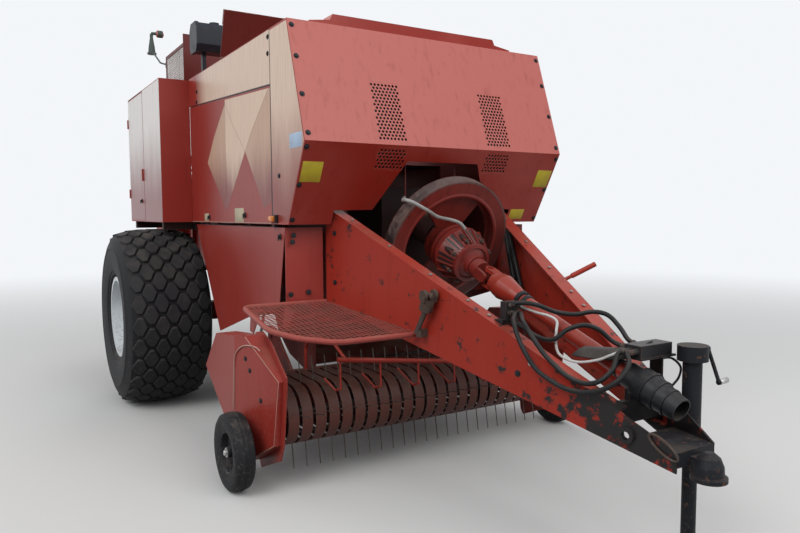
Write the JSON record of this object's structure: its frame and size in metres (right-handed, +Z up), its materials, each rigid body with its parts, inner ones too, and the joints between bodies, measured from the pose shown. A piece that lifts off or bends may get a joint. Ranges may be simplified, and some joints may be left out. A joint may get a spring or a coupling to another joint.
{
  "type": "large square baler",
  "caption": "Towed large square baler with drawbar, flywheel, tined pickup, enclosed body with twine boxes, folding bale chute and parking jack.",
  "frame": {"origin": "on the ground, midway along and across the machine's box", "axes": "+X to the machine's left side, +Y to its rear, +Z up"},
  "size_m": [3.22, 7.741, 3.5659],
  "materials": {
    "red_paint": "faded brick red machine paint, dusty and scratched",
    "dark_red_paint": "older, darker red paint on the frames",
    "tyre_rubber": "worn black tyre rubber with soil in its grooves",
    "rim_paint": "pale grey-white wheel paint",
    "black_paint": "black paint, chipped and greasy",
    "worn_steel": "bare worn steel",
    "rusty_bands": "paint worn through to brown rust",
    "black_plastic": "matt black moulded plastic",
    "amber_lens": "amber lamp lens in a black base",
    "hose_rubber": "black hydraulic hose"
  },
  "bodies": {
    "baler": {"axle": "dark_red_paint", "chamber_sides": "red_paint", "chamber_floor": "worn_steel", "chamber_roof": "dark_red_paint", "front_frame": "dark_red_paint", "gearbox": "dark_red_paint", "pto_boot": "black_plastic", "shaft_bearing": "black_paint", "beam_right": "red_paint", "beam_left": "red_paint", "hitch_head": "black_paint", "coupling": "black_paint", "jack_tube": "black_paint", "body_frame": "dark_red_paint", "hood": "red_paint", "grilles": "red_paint", "hose_holder": "black_paint", "side_strips": "red_paint", "lower_panel_right": "red_paint", "lower_panel_left": "red_paint", "twine_box_right": "red_paint", "twine_box_left": "red_paint", "top_deck": "red_paint", "knotters": "worn_steel", "oil_tank": "black_plastic", "top_guard": "dark_red_paint", "work_lamp": "black_plastic", "density_frame": "red_paint", "needle_yoke": "worn_steel", "feeder_duct": "dark_red_paint", "platform": "red_paint", "stored_yoke": "worn_steel", "side_lamps": "amber_lens", "hose_long": "hose_rubber", "hose_short": "hose_rubber", "hose_right": "hose_rubber", "hose_left": "hose_rubber", "hose_taped": "hose_rubber"},
    "wheel_right": {"tyre_right": "tyre_rubber", "rim_right": "rim_paint"},
    "wheel_left": {"tyre_left": "tyre_rubber", "rim_left": "rim_paint"},
    "flywheel": {"flywheel": "red_paint", "slip_clutch": "red_paint"},
    "pto_shaft": {"pto_shaft": "red_paint"},
    "jack_leg": {"jack_leg": "black_paint"},
    "side_door_right": {"side_door_right": "red_paint"},
    "side_door_left": {"side_door_left": "red_paint"},
    "twine_door_right": {"twine_door_right": "red_paint"},
    "twine_door_left": {"twine_door_left": "red_paint"},
    "knotter_cover": {"knotter_cover": "dark_red_paint"},
    "chute": {"chute": "red_paint"},
    "pickup": {"pickup_frame": "dark_red_paint", "stripper_bands": "rusty_bands", "windguard": "red_paint", "shield_right": "red_paint", "shield_left": "red_paint"},
    "reel": {"tine_reel": "worn_steel"},
    "gauge_wheel_right": {"gauge_wheel_right": "tyre_rubber"},
    "gauge_wheel_left": {"gauge_wheel_left": "tyre_rubber"}
  },
  "joints": [
    {"name": "wheel_right_spin", "type": "hinge", "parent": "baler", "child": "wheel_right", "pos_m": [-1.255, 0.97, 0.777], "axis": [1, 0, 0], "continuous": true},
    {"name": "wheel_left_spin", "type": "hinge", "parent": "baler", "child": "wheel_left", "pos_m": [1.255, 0.97, 0.777], "axis": [1, 0, 0], "continuous": true},
    {"name": "flywheel_spin", "type": "hinge", "parent": "baler", "child": "flywheel", "pos_m": [0, -1.915, 1.473], "axis": [0, -0.9171, -0.3987], "continuous": true},
    {"name": "pto_spin", "type": "hinge", "parent": "baler", "child": "pto_shaft", "pos_m": [0, -2.30934, 1.30154], "axis": [0, -0.9397, -0.342], "continuous": true},
    {"name": "jack_slide", "type": "slide", "parent": "baler", "child": "jack_leg", "axis": [0, 0, -1], "range_m": [0, 0.12]},
    {"name": "side_door_right_lift", "type": "hinge", "parent": "baler", "child": "side_door_right", "pos_m": [-0.988, -0.4, 2.54715], "axis": [0, 0.9983, 0.0579], "range_deg": [0, 85]},
    {"name": "side_door_left_lift", "type": "hinge", "parent": "baler", "child": "side_door_left", "pos_m": [0.988, -0.4, 2.54715], "axis": [0, -0.9983, -0.0579], "range_deg": [0, 85]},
    {"name": "twine_door_right_swing", "type": "hinge", "parent": "baler", "child": "twine_door_right", "pos_m": [-1.247, 1.958, 2.2], "axis": [0, 0, -1], "range_deg": [0, 110]},
    {"name": "twine_door_left_swing", "type": "hinge", "parent": "baler", "child": "twine_door_left", "pos_m": [1.247, 1.958, 2.2], "axis": [0, 0, 1], "range_deg": [0, 110]},
    {"name": "knotter_cover_lift", "type": "hinge", "parent": "baler", "child": "knotter_cover", "pos_m": [0, -0.3, 2.862], "axis": [-1, 0, 0], "range_deg": [0, 108]},
    {"name": "chute_fold", "type": "hinge", "parent": "baler", "child": "chute", "pos_m": [0, 3.73, 1.13], "axis": [-1, 0, 0], "range_deg": [0, 85]},
    {"name": "pickup_lift", "type": "hinge", "parent": "baler", "child": "pickup", "pos_m": [0, -0.78, 0.8], "axis": [-1, 0, 0], "range_deg": [0, 12]},
    {"name": "reel_spin", "type": "hinge", "parent": "pickup", "child": "reel", "pos_m": [0, -1.58, 0.44], "axis": [-1, 0, 0], "continuous": true},
    {"name": "gauge_wheel_right_spin", "type": "hinge", "parent": "pickup", "child": "gauge_wheel_right", "pos_m": [-1.3225, -1.505, 0.24], "axis": [1, 0, 0], "continuous": true},
    {"name": "gauge_wheel_left_spin", "type": "hinge", "parent": "pickup", "child": "gauge_wheel_left", "pos_m": [1.3225, -1.505, 0.24], "axis": [1, 0, 0], "continuous": true}
  ],
  "couplings": [
    {"joint": "pto_spin", "follows": "flywheel_spin", "ratio": 1}
  ]
}
